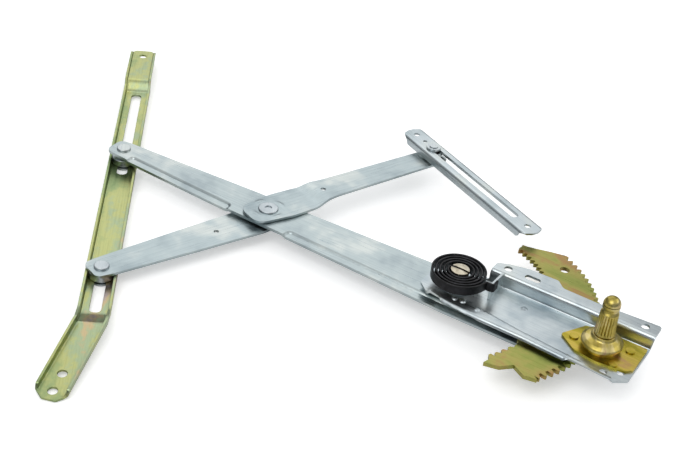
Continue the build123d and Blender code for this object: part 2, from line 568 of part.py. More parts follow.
def anchor_tab():
    """Tab lanced up out of the tray floor, for the hook of the clock spring's outer leg."""
    height = ANCHOR_HEIGHT - FLOOR_BACK
    tab = Pos(PIVOT_DISTANCE + ANCHOR_X, SPRING_LEG - STRIP / 2 - 0.3 - 4.0, FLOOR_BACK + height / 2)
    return tab * Box(BASE_SHEET, 8.0, height)


def front_plate():
    """Plate that closes the tray over the pinion and carries the brake drum."""
    face = rounded(PLATE_OUTLINE, 3.0) - Circle(DRUM_RADIUS - DRUM_WALL)
    face -= holes(PLATE_RIVETS, PLATE_RIVET + HOLE_EASE)
    return slab(face, FLOOR_TOP, FLOOR_TOP + PLATE_SHEET)


def plate_rivets():
    """Rivets of the front plate, headed in front and flush behind the tray."""
    rivets = []
    for at in PLATE_RIVETS:
        head = disc(PLATE_RIVET + 1.6, FLOOR_TOP + PLATE_SHEET, FLOOR_TOP + PLATE_SHEET + 1.1, at)
        rivets.append(disc(PLATE_RIVET, FLOOR_BACK, FLOOR_TOP + PLATE_SHEET, at) + head)
    return Compound(children=rivets)


def brake_drum():
    """Flanged cup with a rounded shoulder and a neck that carries the spindle."""
    cup = fillet(disc(DRUM_RADIUS, DRUM_LOW, DRUM_HIGH).edges().sort_by(Axis.Z)[-1], 3.2)
    cup += disc(DRUM_FLANGE, DRUM_LOW, DRUM_LOW + 1.3)
    cup += fillet(disc(DRUM_NECK, DRUM_HIGH - 1, DRUM_NECK_TOP).edges().sort_by(Axis.Z)[-1], 1.0)
    cup -= disc(DRUM_RADIUS - DRUM_WALL, DRUM_LOW - 1, DRUM_ROOF)
    return cup - disc(SPINDLE_RADIUS + SPINDLE_CLEARANCE, DRUM_LOW, DRUM_NECK_TOP + 1)


def crank_spindle():
    """Spindle: rear journal, spring driver, collar, serrated stem, clip groove and rounded knob."""
    body = disc(JOURNAL_RADIUS, CUP_FLOOR - CUP_WALL - 2.6, DRUM_LOW + 0.6)
    body += disc(DRIVER_RADIUS, DRUM_LOW + 0.6, DRUM_ROOF - 0.4)
    lug = Pos(DRIVER_RADIUS, 0, DRUM_LOW + 3.1)
    body += lug * Box(4.0, 5.0, 4.0)
    body += disc(SPINDLE_RADIUS, DRUM_ROOF - 0.4, SPLINE_FOOT)
    mouth = SPLINE_RADIUS + 0.5
    notch = polygon([(SPLINE_RADIUS - SPLINE_DEPTH, 0), (mouth, 0.75), (mouth, -0.75)])
    face = Circle(SPLINE_RADIUS) - [Rot(0, 0, i * 360.0 / SPLINES) * notch for i in range(SPLINES)]
    body += slab(face, SPLINE_FOOT, SPLINE_TOP)
    body += disc(GROOVE_RADIUS, SPLINE_TOP, KNOB_FOOT)
    knob = Pos(0, 0, KNOB_FOOT + KNOB_LAND) * Sphere(KNOB_RADIUS)
    knob -= disc(2 * KNOB_RADIUS, KNOB_FOOT - 10, KNOB_FOOT + KNOB_LAND)
    return body + disc(KNOB_RADIUS, KNOB_FOOT, KNOB_FOOT + KNOB_LAND) + knob


def wrap_spring():
    """Close-wound brake spring inside the drum, drawn as one split sleeve round the driver's lug."""
    outer = DRUM_RADIUS - DRUM_WALL - WRAP_CLEARANCE
    ring = Circle(outer) - Circle(outer - WRAP_WIRE) - Pos(outer, 0) * Rectangle(8.0, 7.0)
    return slab(ring, DRUM_LOW + 0.8, DRUM_LOW + 5.4)


# ---------------------------------------------------------------- pivot and counterbalance
def pivot_arbor():
    """Arbor riveted into the lift arm: shoulder, journal in the tray, slotted head inside the spring."""
    body = disc(PIVOT_SHANK, PANEL_BACK, ARM_TOP)
    body += disc(PIVOT_SHOULDER, ARM_TOP - EMBOSS, FLOOR_BACK - 0.1)
    body += disc(PIVOT_JOURNAL, FLOOR_BACK - 1, FLOOR_TOP + WASHER + 0.1)
    body += disc(PIVOT_HEAD, FLOOR_TOP, PIVOT_TOP)
    body += disc(PIVOT_JOURNAL + 1.0, PANEL_BACK - 1.4, PANEL_BACK)
    depth = PIVOT_TOP - SPRING_LOW + 2
    return body - Pos(0, 0, SPRING_LOW - 0.3 + depth / 2) * Box(40.0, STRIP + 0.6, depth)


def pivot_washer():
    """Washer on the arbor that holds the tray floor against the arbor's shoulder."""
    ring = Circle(WASHER_RADIUS) - Circle(PIVOT_JOURNAL + 0.02)
    return slab(ring, FLOOR_TOP + 0.1, FLOOR_TOP + 0.1 + WASHER)


def clock_spring():
    """Flat spiral of half turns about two centres, its ends in the arbor's slot and round the tab."""
    face = Pos(SPRING_INNER / 2 - 1.0, 0) * Rectangle(SPRING_INNER + 2.0 + STRIP / 2, STRIP)
    for i in range(SPRING_HALF_TURNS):
        radius = SPRING_INNER + i * SPRING_HALF_STEP
        ring = Circle(radius + STRIP / 2) - Circle(radius - STRIP / 2)
        side = 1 if i % 2 == 0 else -1
        half = Pos(0, side * radius) * Rectangle(4 * radius, 2 * radius)
        centre = 0.0 if i % 2 == 0 else SPRING_HALF_STEP
        face += Pos(centre, 0) * (ring & half)
    outside = SPRING_INNER + (SPRING_HALF_TURNS - 1) * SPRING_HALF_STEP
    hook = ANCHOR_X - BASE_SHEET / 2 - 0.3 - STRIP / 2
    outer = -outside - STRIP / 2
    face += polygon([(outer, 0.5), (outer + STRIP, 0.5), (outer + STRIP, SPRING_LEG - STRIP / 2),
                     (outer, SPRING_LEG - STRIP / 2)])
    leg = (outer + hook - STRIP / 2) / 2
    face += Pos(leg, SPRING_LEG) * Rectangle(outer - hook + STRIP / 2 + 0.2, STRIP)
    face += Pos(hook, SPRING_LEG - 3.0) * Rectangle(STRIP, 6.0 + STRIP)
    return slab(face, SPRING_LOW, SPRING_HIGH)


def plain_label():
    """Blank self-adhesive label on the back of the lift arm."""
    face = Pos(LABEL_CENTRE, 0) * RectangleRounded(LABEL_LENGTH, LABEL_WIDTH, 1.5)
    return slab(face, ARM_BACK - LABEL, ARM_BACK)


def all_pieces():
    """Every piece in its place, by the name of its node."""
    arm = {"main_arm": lift_arm(), "sector_gear": sector_gear(), "sector_rivets": sector_rivets(),
           "pivot_arbor": pivot_arbor(), "pivot_washer": pivot_washer(), "clock_spring": clock_spring(),
           "plain_label": plain_label()}
    tray = {"base_plate": base_plate(), "front_plate": front_plate(), "plate_rivets": plate_rivets(),
            "brake_drum": brake_drum(), "crank_spindle": crank_spindle(), "wrap_spring": wrap_spring(),
            "pinion": pinion()}
    front = {"equaliser_front": front_link()}
    centre = {"centre_sleeve": centre_sleeve(), "equaliser_back": place(back_link(), (0, 0), 180)}
    guide = {"guide_roller": guide_roller(), "guide_stud": guide_stud()}
    pieces = {name: place(shape, PIVOT, ARM_ANGLE) for name, shape in arm.items()}
    pieces.update({name: place(shape, SPINDLE, ARM_ANGLE) for name, shape in tray.items()})
    pieces.update({name: place(shape, CENTRE, LINK_ANGLE) for name, shape in {**front, **centre}.items()})
    pieces.update({name: place(shape, GUIDE_ROLLER, RAIL_ANGLE) for name, shape in guide.items()})
    pieces["arm_roller"] = place(channel_roller(), ARM_ROLLER)
    pieces["arm_stud"] = place(channel_stud(ARM_TOP, ARM_BACK), ARM_ROLLER)
    pieces["link_roller"] = place(channel_roller(), LINK_ROLLER)
    pieces["link_stud"] = place(channel_stud(BACK_LINK_TOP, BACK_LINK_BACK), LINK_ROLLER)
    pieces["glass_channel"] = place(glass_channel(), LINK_ROLLER)
    pieces["guide_rail"] = place(guide_rail(), GUIDE_ROLLER, RAIL_ANGLE)
    return pieces


os.makedirs("parts", exist_ok=True)
for name, shape in all_pieces().items():
    export_step(shape, f"parts/{name}.step")
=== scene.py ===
import math

import bpy
import numpy as np
from mathutils import Matrix, Vector
from mathutils.geometry import delaunay_2d_cdt


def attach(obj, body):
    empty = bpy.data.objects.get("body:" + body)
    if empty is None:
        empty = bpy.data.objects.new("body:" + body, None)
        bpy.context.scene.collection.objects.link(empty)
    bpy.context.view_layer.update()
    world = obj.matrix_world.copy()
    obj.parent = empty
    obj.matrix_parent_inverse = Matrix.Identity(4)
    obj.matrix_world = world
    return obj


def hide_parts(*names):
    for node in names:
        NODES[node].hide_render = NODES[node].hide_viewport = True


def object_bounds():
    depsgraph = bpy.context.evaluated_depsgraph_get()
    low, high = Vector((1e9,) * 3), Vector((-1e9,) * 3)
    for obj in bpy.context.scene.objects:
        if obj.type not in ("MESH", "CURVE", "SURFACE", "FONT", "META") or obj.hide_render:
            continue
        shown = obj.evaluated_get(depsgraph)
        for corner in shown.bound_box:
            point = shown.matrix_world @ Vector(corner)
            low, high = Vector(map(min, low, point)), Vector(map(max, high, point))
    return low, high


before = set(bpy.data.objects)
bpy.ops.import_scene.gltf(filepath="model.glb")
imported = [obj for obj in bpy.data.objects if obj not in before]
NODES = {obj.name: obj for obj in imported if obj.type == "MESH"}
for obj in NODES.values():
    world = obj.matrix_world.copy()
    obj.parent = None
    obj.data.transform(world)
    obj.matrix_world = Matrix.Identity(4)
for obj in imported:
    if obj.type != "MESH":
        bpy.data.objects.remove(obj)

CAD_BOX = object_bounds()
MM = 0.001

# ------------------------------------------------------------------ layout, in millimetres and degrees
TRAY_TURN = 56.0                       # the tray and the lift arm lie at this angle to the channel
RAIL_TURN = 209.5
COS, SIN = math.cos(math.radians(TRAY_TURN)), math.sin(math.radians(TRAY_TURN))
PIVOT_AT = 120                         # spindle to the lift arm's pivot
ARM_CENTRE, ARM_END = 177, 330         # along the lift arm from its pivot: the scissor pivot and the roller
BACK_LENGTH, FRONT_LENGTH = 153, 177   # the equaliser from the scissor pivot to either roller
SPINDLE = (0.0, 0.0)
PIVOT = (PIVOT_AT * COS, PIVOT_AT * SIN)
CENTRE = ((PIVOT_AT + ARM_CENTRE) * COS, (PIVOT_AT + ARM_CENTRE) * SIN)
LINK_ROLLER = (CENTRE[0] - BACK_LENGTH * COS, (PIVOT_AT + ARM_END) * SIN)
GUIDE_ROLLER = (CENTRE[0] + FRONT_LENGTH * COS, PIVOT[1])

# Heights of the mid sheets over the mounting flange's plane, and thicknesses.
ARM_LEVEL, ARM_THICK = -19.25, 2.5
FRONT_LINK_LEVEL, BACK_LINK_LEVEL, LINK_THICK = -16.5, -23.5, 2.2
CHANNEL_LEVEL, CHANNEL_THICK = -32.4, 2.0
RAIL_LEVEL, RAIL_THICK = -4.2, 1.8
TRAY_LEVEL, TRAY_THICK = -13.0, 2.0
PLATE_LEVEL, PLATE_THICK = -11.2, 1.6
SECTOR_LEVEL, SECTOR_THICK = -16.25, 3.5
CUP_RADIUS, CUP_THICK = 12.4, 1.8
SPRING_LOW, SPRING_HIGH, SPRING_THICK = -3.0, 4.6, 1.6


# ------------------------------------------------------------------ small tools
def linear(hex_colour):
    """sRGB hex to linear RGBA."""
    rgb = [int(hex_colour[i:i + 2], 16) / 255 for i in (0, 2, 4)]
    return tuple(c / 12.92 if c <= 0.04045 else ((c + 0.055) / 1.055) ** 2.4 for c in rgb) + (1.0,)


def add(tree, kind, **values):
    """Adds a shader node. _name sets a property; iN or a socket's name takes a value or a socket to link."""
    node = tree.nodes.new("ShaderNode" + kind)
    for key, value in values.items():
        if key.startswith("_"):
            setattr(node, key[1:], value)
            continue
        by_number = key[0] == "i" and key[1:].isdigit()
        socket = node.inputs[int(key[1:]) if by_number else key.replace("_", " ")]
        if isinstance(value, bpy.types.NodeSocket):
            tree.links.new(value, socket)
        else:
            socket.default_value = value
    return node


def ramp(tree, factor, stops):
    """Eased colour ramp through (position, hex) stops."""
    node = tree.nodes.new("ShaderNodeValToRGB")
    node.color_ramp.interpolation = "EASE"
    elements = node.color_ramp.elements
    while len(elements) > 1:
        elements.remove(elements[-1])
    elements[0].position, elements[0].color = stops[0][0], linear(stops[0][1])
    for position, colour in stops[1:]:
        elements.new(position).color = linear(colour)
    tree.links.new(factor, node.inputs[0])
    return node.outputs[0]


def spread(tree, value, low, high, to_low, to_high):
    """Map a value from one range to another, clamped."""
    node = add(tree, "MapRange", Value=value, From_Min=low, From_Max=high, To_Min=to_low, To_Max=to_high)
    return node.outputs[0]


def millimetres(tree, scale=(1.0, 1.0, 1.0), turn=0.0):
    """Object coordinates in millimetres, turned about Z and stretched."""
    where = add(tree, "TexCoord").outputs["Object"]
    turned = add(tree, "Mapping", Vector=where, Rotation=(0.0, 0.0, math.radians(turn)))
    sized = add(tree, "Mapping", Vector=turned.outputs[0], Scale=tuple(s / MM for s in scale))
    return sized.outputs[0]


def noise(tree, vector, size, detail=4.0, rough=0.55, distortion=0.0):
    """Noise whose features are about size millimetres across."""
    node = add(tree, "TexNoise", Vector=vector, Scale=1.0 / size, Detail=detail, Roughness=rough,
               Distortion=distortion)
    return node.outputs["Fac"]


def new_material(name):
    """An empty node material with its principled shader."""
    material = bpy.data.materials.new(name)
    material.use_nodes = True
    tree = material.node_tree
    return material, tree, tree.nodes["Principled BSDF"]


# ------------------------------------------------------------------ finishes
# Rolling lines run along the part, some 35 mm long and 1.4 mm apart: finer on real sheet, drawn coarse
# enough to show.
ROLLED = (0.06, 1.6, 1.0)


def bumped(tree, shader, height, strength, depth=0.05):
    """Relief of a few hundredths of a millimetre from a height pattern."""
    bump = add(tree, "Bump", Strength=strength, Distance=depth * MM, Height=height)
    tree.links.new(bump.outputs[0], shader.inputs["Normal"])


def streaked(tree, colour, grain, dark):
    """The colour darkened a little along the rolling lines."""
    lines = ramp(tree, grain, [(0.30, dark), (0.60, "ffffff")])
    mix = add(tree, "Mix", _data_type="RGBA", _blend_type="MULTIPLY", i0=0.35, i6=colour, i7=lines)
    return mix.outputs[2]


def zinc_plate(name, turn=0.0, tint="b7c2c3", shade="a0acb0"):
    """Bright zinc over rolled steel sheet: a silvery metal with faint blue clouds some 40 mm across, rolling
    lines along the part and small handling marks that break the reflections up."""
    material, tree, shader = new_material(name)
    cloud = noise(tree, millimetres(tree), 38.0, 3.0)
    grain = noise(tree, millimetres(tree, ROLLED, -turn), 2.2, 5.0, 0.65)
    speck = noise(tree, millimetres(tree), 1.3, 3.0, 0.7)
    base = ramp(tree, cloud, [(0.30, shade), (0.52, tint), (0.70, "cfd5d2")])
    tree.links.new(streaked(tree, base, grain, "b9c0c6"), shader.inputs["Base Color"])
    shader.inputs["Metallic"].default_value = 1.0
    rough = add(tree, "Math", _operation="ADD", i0=spread(tree, grain, 0.25, 0.75, 0.24, 0.40),
                i1=spread(tree, speck, 0.55, 0.8, 0.0, 0.16))
    tree.links.new(rough.outputs[0], shader.inputs["Roughness"])
    height = add(tree, "Math", _operation="MULTIPLY_ADD", i0=grain, i1=0.6, i2=speck)
    bumped(tree, shader, height.outputs[0], 0.10)
    return material


def yellow_chromate(name, turn, film_colours, size):
    """Yellow chromate film over zinc plate: a thin film whose colour drifts with its thickness, from olive
    through gold to rose and lilac, in clouds stretched along the part."""
    material, tree, shader = new_material(name)
    film = noise(tree, millimetres(tree, (0.55, 1.5, 1.0), -turn), size, 3.0, 0.5, 0.6)
    stain = noise(tree, millimetres(tree), 7.0, 5.0, 0.6)
    grain = noise(tree, millimetres(tree, ROLLED, -turn), 2.2, 5.0, 0.65)
    mixed = add(tree, "Math", _operation="MULTIPLY_ADD", i0=stain, i1=0.22, i2=film).outputs[0]
    colour = ramp(tree, mixed, film_colours)
    tree.links.new(streaked(tree, colour, grain, "c2bfae"), shader.inputs["Base Color"])
    shader.inputs["Metallic"].default_value = 1.0
    tree.links.new(spread(tree, grain, 0.25, 0.75, 0.26, 0.42), shader.inputs["Roughness"])
    height = add(tree, "Math", _operation="MULTIPLY_ADD", i0=grain, i1=0.6, i2=stain)
    bumped(tree, shader, height.outputs[0], 0.10)
    return material


def black_spring(name):
    """Blued spring strip with an oil film: nearly black, half glossy, banded along its edges."""
    material, tree, shader = new_material(name)
    cloud = noise(tree, millimetres(tree), 6.0, 4.0)
    band = noise(tree, millimetres(tree, (0.3, 0.3, 2.5)), 1.5, 3.0)
    tree.links.new(ramp(tree, cloud, [(0.35, "0d0d0f"), (0.7, "26262a")]), shader.inputs["Base Color"])
    shader.inputs["Metallic"].default_value = 0.6
    tree.links.new(spread(tree, band, 0.3, 0.7, 0.28, 0.5), shader.inputs["Roughness"])
    bumped(tree, shader, band, 0.15)
    return material


def turned_steel(name):
    """Turned, lightly oiled steel: warm grey, with tool marks round the axis, drawn 0.25 mm apart to show."""
    material, tree, shader = new_material(name)
    cloud = noise(tree, millimetres(tree), 5.0, 4.0)
    mark = noise(tree, millimetres(tree, (0.4, 0.4, 5.0)), 1.2, 3.0)
    tree.links.new(ramp(tree, cloud, [(0.3, "a59c88"), (0.65, "cfc7b4")]), shader.inputs["Base Color"])
    shader.inputs["Metallic"].default_value = 1.0
    tree.links.new(spread(tree, mark, 0.3, 0.7, 0.22, 0.42), shader.inputs["Roughness"])
    bumped(tree, shader, mark, 0.12, 0.04)
    return material


def blank_label(name):
    """Coated white paper, blank and a little dirty; its fibres are drawn 0.6 mm long to show."""
    material, tree, shader = new_material(name)
    fibre = noise(tree, millimetres(tree), 0.6, 4.0, 0.7)
    smudge = noise(tree, millimetres(tree), 9.0, 4.0)
    tree.links.new(ramp(tree, smudge, [(0.35, "d9d6d2"), (0.6, "f1efec")]), shader.inputs["Base Color"])
    tree.links.new(spread(tree, fibre, 0.3, 0.7, 0.35, 0.55), shader.inputs["Roughness"])
    bumped(tree, shader, fibre, 0.1)
    return material


# Colours of the chromate film by thickness: greenish on the channel, olive on the sector, golden on the
# plate and the brake.
CHANNEL_FILM = [(0.38, "7f9668"), (0.50, "9cae7c"), (0.60, "bcc083"), (0.68, "a8b894"), (0.75, "c6b48c"),
                (0.82, "b3a5a2")]
SECTOR_FILM = [(0.38, "7c8442"), (0.50, "989e54"), (0.60, "a8a25c"), (0.70, "ae8d5c"), (0.78, "94905c")]
PLATE_FILM = [(0.40, "8f8436"), (0.55, "b9a83c"), (0.68, "d2bb58"), (0.78, "c7a26a")]
BRAKE_FILM = [(0.40, "9d8f4a"), (0.55, "c2b05c"), (0.68, "d9c98a"), (0.78, "cfae8a")]

ZINC_ARM = zinc_plate("zinc_plate_lift_arm", TRAY_TURN)
ZINC_LINK = zinc_plate("zinc_plate_equaliser", -TRAY_TURN, "b4c0c2", "9daaae")
ZINC_TRAY = zinc_plate("zinc_plate_tray", TRAY_TURN, "c8d0d2", "a8b4ba")
ZINC_RAIL = zinc_plate("zinc_plate_rail", RAIL_TURN, "c4cdd0", "adb9bc")
ZINC_SMALL = zinc_plate("zinc_plate_fasteners", 0.0, "c6cdd0", "a8b1b6")
GOLD_CHANNEL = yellow_chromate("yellow_chromate_channel", 0.0, CHANNEL_FILM, 60.0)
GOLD_SECTOR = yellow_chromate("yellow_chromate_sector", TRAY_TURN, SECTOR_FILM, 34.0)
GOLD_PLATE = yellow_chromate("yellow_chromate_plate", TRAY_TURN, PLATE_FILM, 18.0)
GOLD_BRAKE = yellow_chromate("yellow_chromate_brake", 0.0, BRAKE_FILM, 14.0)
BLACK_SPRING = black_spring("blued_spring_strip")
CREAM_STEEL = turned_steel("turned_steel_arbor")
LABEL = blank_label("blank_label_paper")

FINISH = {
    "base_plate": ZINC_TRAY, "front_plate": GOLD_PLATE, "plate_rivets": GOLD_PLATE, "brake_drum": GOLD_BRAKE,
    "crank_spindle": GOLD_BRAKE, "wrap_spring": BLACK_SPRING, "pinion": CREAM_STEEL, "main_arm": ZINC_ARM,
    "sector_gear": GOLD_SECTOR, "sector_rivets": ZINC_SMALL, "pivot_arbor": CREAM_STEEL,
    "pivot_washer": ZINC_SMALL, "clock_spring": BLACK_SPRING, "plain_label": LABEL,
    "equaliser_front": ZINC_LINK, "equaliser_back": ZINC_LINK, "centre_sleeve": ZINC_SMALL,
    "arm_stud": ZINC_SMALL, "link_stud": ZINC_SMALL, "guide_stud": ZINC_SMALL, "arm_roller": ZINC_SMALL,
    "link_roller": ZINC_SMALL, "guide_roller": ZINC_SMALL, "glass_channel": GOLD_CHANNEL,
    "guide_rail": ZINC_RAIL,
}


def shade(mesh, angle):
    """Smooth shading with edges sharper than the angle kept."""
    mesh.shade_smooth()
    mesh.set_sharp_from_angle(angle=math.radians(angle))


def soften(obj, width, angle=35.0):
    """Smooth shading with small rounded edges."""
    shade(obj.data, angle)
    bevel = obj.modifiers.new("edges", "BEVEL")
    bevel.width = width * MM
    bevel.segments = 2
    bevel.limit_method = "ANGLE"
    bevel.angle_limit = math.radians(angle)
    bevel.harden_normals = True


for name, obj in NODES.items():
    obj.data.materials.clear()
    obj.data.materials.append(FINISH[name])


# ------------------------------------------------------------------ outlines and sheets
def soft_step(t):
    """Smooth step from 0 to 1: 3t^2 - 2t^3."""
    t = np.clip(t, 0.0, 1.0)
    return t * t * (3.0 - 2.0 * t)


def rounded(points, radii, step=0.8):
    """Closed outline through the points with each corner an arc of its radius, where the sides allow it."""
    points = [np.array(p, float) for p in points]
    radii = [radii] * len(points) if np.isscalar(radii) else radii
    loop = []
    for i, corner in enumerate(points):
        back, on = points[i - 1] - corner, points[(i + 1) % len(points)] - corner
        room = 0.45 * min(np.linalg.norm(back), np.linalg.norm(on))
        back, on = back / np.linalg.norm(back), on / np.linalg.norm(on)
        half = 0.5 * math.acos(np.clip(back @ on, -0.9999, 0.9999))
        cut = min(radii[i] / math.tan(half), room)
        if cut < 0.05:
            loop.append(corner)
            continue
        centre = corner + (back + on) / np.linalg.norm(back + on) * cut / math.cos(half)
        arm, end = corner + back * cut - centre, corner + on * cut - centre
        angle = math.atan2(arm[0] * end[1] - arm[1] * end[0], arm @ end)
        count = max(2, int(abs(angle) * np.linalg.norm(arm) / step) + 2)
        for t in np.linspace(0, angle, count):
            c, s = math.cos(t), math.sin(t)
            loop.append(centre + (arm[0] * c - arm[1] * s, arm[0] * s + arm[1] * c))
    return np.array(loop)


def cornered(corners, step=0.8):
    """Closed outline through (x, y, corner radius) corners."""
    return rounded([c[:2] for c in corners], [c[2] for c in corners], step)


def divided(loop, step):
    """The same closed loop with no side longer than step."""
    out = []
    for a, b in zip(loop, np.roll(loop, -1, axis=0)):
        count = max(1, int(np.ceil(np.linalg.norm(b - a) / step)))
        out += [a + (b - a) * k / count for k in range(count)]
    return np.array(out)


def ring(x, y, radius, step=0.8):
    """Circle as a closed loop."""
    count = max(16, int(2 * math.pi * radius / step))
    t = np.arange(count) * 2 * math.pi / count
    return np.stack([x + radius * np.cos(t), y + radius * np.sin(t)], -1)


def oval(start, end, half, y=0.0):
    """Round-ended slot along X between its extreme ends."""
    return rounded([(start, y - half), (end, y - half), (end, y + half), (start, y + half)], half * 0.999)


def strip(stations, start_radius, end_radius, along=60.0):
    """Outline of a strip whose half width follows (x, half width) stations."""
    low = [(x, -h) for x, h in stations]
    high = [(x, h) for x, h in reversed(stations)]
    inner = [along] * (len(stations) - 2)
    return rounded(low + high, [start_radius] + inner + [end_radius] * 2 + inner + [start_radius], 1.2)


def inside(points, loop):
    """Which points lie inside a closed loop, by crossings of a ray along X."""
    x, y = points[:, 0][:, None], points[:, 1][:, None]
    a, b = loop, np.roll(loop, -1, axis=0)
    spans = (a[:, 1] > y) != (b[:, 1] > y)
    rise = np.where(b[:, 1] == a[:, 1], 1e-9, b[:, 1] - a[:, 1])
    return (spans & (x < a[:, 0] + (y - a[:, 1]) * (b[:, 0] - a[:, 0]) / rise)).sum(1) % 2 == 1


def clear_of(points, loops, gap):
    """Which points keep a gap from every side of the loops."""
    keep = np.ones(len(points), bool)
    for loop in loops:
        for a, b in zip(loop, np.roll(loop, -1, axis=0)):
            near = np.all(points > np.minimum(a, b) - gap, 1) & np.all(points < np.maximum(a, b) + gap, 1)
            near &= keep
            if near.any():
                q, d = points[near] - a, b - a
                t = np.clip(q @ d / max(d @ d, 1e-9), 0, 1)
                keep[np.flatnonzero(near)[np.linalg.norm(q - t[:, None] * d, axis=1) < gap]] = False
    return keep


def grid(loop, step):
    """Staggered grid of points over a loop's box."""
    (x0, y0), (x1, y1) = loop.min(0), loop.max(0)
    xs, ys = np.arange(x0, x1, step), np.arange(y0, y1, step * 0.87)
    x, y = np.meshgrid(xs, ys)
    x = x + (np.arange(len(ys)) % 2)[:, None] * step / 2
    return np.stack([x.ravel(), y.ravel()], -1)


def to_row(points, origin=(0.0, 0.0), turn=0.0):
    """Local millimetres to the row frame's metres: turned about Z, then moved."""
    points = np.asarray(points, float)
    c, s = math.cos(math.radians(turn)), math.sin(math.radians(turn))
    x, y, z = points.T
    return np.stack([x * c - y * s + origin[0], x * s + y * c + origin[1], z], -1) * MM


def make(name, points, faces, material, body, edge=0.25, angle=35.0):
    """A finished piece from row-frame points and faces, riding on a body."""
    mesh = bpy.data.meshes.new(name)
    mesh.from_pydata([tuple(p) for p in points], [], [tuple(int(i) for i in f) for f in faces])
    mesh.validate()
    mesh.materials.append(material)
    obj = bpy.data.objects.new(name, mesh)
    bpy.context.scene.collection.objects.link(obj)
    if edge:
        soften(obj, edge, angle)
    else:
        shade(mesh, angle)
    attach(obj, body)
    return obj


def in_sheet(points, loops):
    """Which points lie inside the first loop and outside the others."""
    keep = inside(points, loops[0])
    for hole in loops[1:]:
        keep &= ~inside(points, hole)
    return keep


def sheet(name, material, body, outline, holes, surface, thick, origin, turn=TRAY_TURN, step=3.0, fine=None,
          fine_step=0.8, edge=0.25):
    """Pressed sheet: the outline and holes, laid out flat, carried by surface(u, v) -> mid-sheet (x, y, z).

    Both faces stand half the thickness off along the surface normal dS/du x dS/dv. The flat layout is cut
    into triangles on a grid of step, and of fine_step where fine(u, v) holds.
    """
    loops = [divided(outline, step)] + [divided(h, step) for h in holes]
    scattered = grid(loops[0], step)
    if fine is not None:
        scattered = scattered[~fine(*scattered.T)]
    scattered = scattered[clear_of(scattered, loops, 0.55 * step)]
    if fine is not None:
        small = grid(loops[0], fine_step)
        small = small[fine(*small.T)]
        scattered = np.concatenate([scattered, small[clear_of(small, loops, 0.6 * fine_step)]])
    points, edges = [], []
    for loop in loops:
        base = len(points)
        points += list(loop)
        edges += [(base + i, base + (i + 1) % len(loop)) for i in range(len(loop))]
    points = np.array(points + list(scattered[in_sheet(scattered, loops)]))
    verts, _, faces, *_ = delaunay_2d_cdt([Vector(p) for p in points], edges, [], 0, 1e-5)
    flat = np.array([tuple(v) for v in verts])
    tris = np.array([f for f in faces if len(f) == 3])
    tris = tris[in_sheet(flat[tris].mean(1), loops)]
    a, b, c = flat[tris[:, 0]], flat[tris[:, 1]], flat[tris[:, 2]]
    flip = (b[:, 0] - a[:, 0]) * (c[:, 1] - a[:, 1]) < (b[:, 1] - a[:, 1]) * (c[:, 0] - a[:, 0])
    tris[flip] = tris[flip][:, ::-1]
    u, v = flat.T
    e = 0.05                           # half the step of the slopes' differences
    mid = surface(u, v)
    normal = np.cross(surface(u + e, v) - surface(u - e, v), surface(u, v + e) - surface(u, v - e))
    normal /= np.maximum(np.linalg.norm(normal, axis=1), 1e-12)[:, None]
    solid = np.concatenate([mid + normal * thick / 2, mid - normal * thick / 2])
    count = len(flat)
    directed = np.concatenate([tris[:, [0, 1]], tris[:, [1, 2]], tris[:, [2, 0]]])
    keys = set(map(tuple, directed))
    rim = [(i, j) for i, j in map(tuple, directed) if (j, i) not in keys]
    walls = [(i, i + count, j + count, j) for i, j in rim]
    faces = [tuple(t) for t in tris] + [tuple(t[::-1] + count) for t in tris] + walls
    used = np.unique(np.concatenate([tris.ravel(), tris.ravel() + count]))
    renumber = np.zeros(2 * count, int)
    renumber[used] = np.arange(len(used))
    faces = [tuple(renumber[list(f)]) for f in faces]
    return make(name, to_row(solid[used], origin, turn), faces, material, body, edge)


def level(height):
    """Surface of a flat sheet at a height."""
    return lambda u, v: np.stack([u, v, np.full_like(u, height)], -1)


def lathe(name, material, body, profile, turn=0.0, count=64, wobble=None):
    """Turned piece on the spindle's axis: a closed (radius, z) profile swept round Z.

    wobble(angle, z) scales the radius.
    """
    profile = np.array(profile, float)
    t = np.arange(count) * 2 * math.pi / count
    points = []
    for a in t:
        r = profile[:, 0] * (wobble(a, profile[:, 1]) if wobble else 1.0)
        points += list(np.stack([r * math.cos(a), r * math.sin(a), profile[:, 1]], -1))
    n = len(profile)
    faces = []
    for k in range(count):
        for i in range(n):
            j = (i + 1) % n
            faces.append((k * n + i, ((k + 1) % count) * n + i, ((k + 1) % count) * n + j, k * n + j))
    return make(name, to_row(points, SPINDLE, turn), faces, material, body, 0.0, 40.0)


def panel(u, v, start, start_half, end, end_half, corner, wall):
    """Depth 0 to 1 inside a tapered, round-cornered panel; its wall slopes over a width of wall."""
    half = start_half + (end_half - start_half) * np.clip((u - start) / (end - start), 0, 1)
    qx = np.maximum(start - u, u - end) + corner
    qy = np.abs(v) - half + corner
    distance = np.hypot(np.maximum(qx, 0), np.maximum(qy, 0)) + np.minimum(np.maximum(qx, qy), 0) - corner
    return soft_step(-distance / wall), np.abs(distance + wall / 2) < wall / 2 + 1.2


# ------------------------------------------------------------------ lift arm
# The open side's edge is pressed back by the near side of a panel centred 40 out from the arm's middle line:
# start, half width there, end, half width there, corner, wall.
STEP_CENTRE = 40.0
LONG_STEP = (-84.0, 22.4, 150.0, 29.0, 6.0, 2.6)
SHORT_STEP = (205.0, 30.6, 318.0, 36.6, 5.0, 2.4)


def arm_surface(u, v):
    """Flat, its edge on the open side pressed 1.5 back along two lengths."""
    depth = np.maximum(panel(u, v - STEP_CENTRE, *LONG_STEP)[0], panel(u, v - STEP_CENTRE, *SHORT_STEP)[0])
    return np.stack([u, v, ARM_LEVEL - 1.5 * depth], -1)


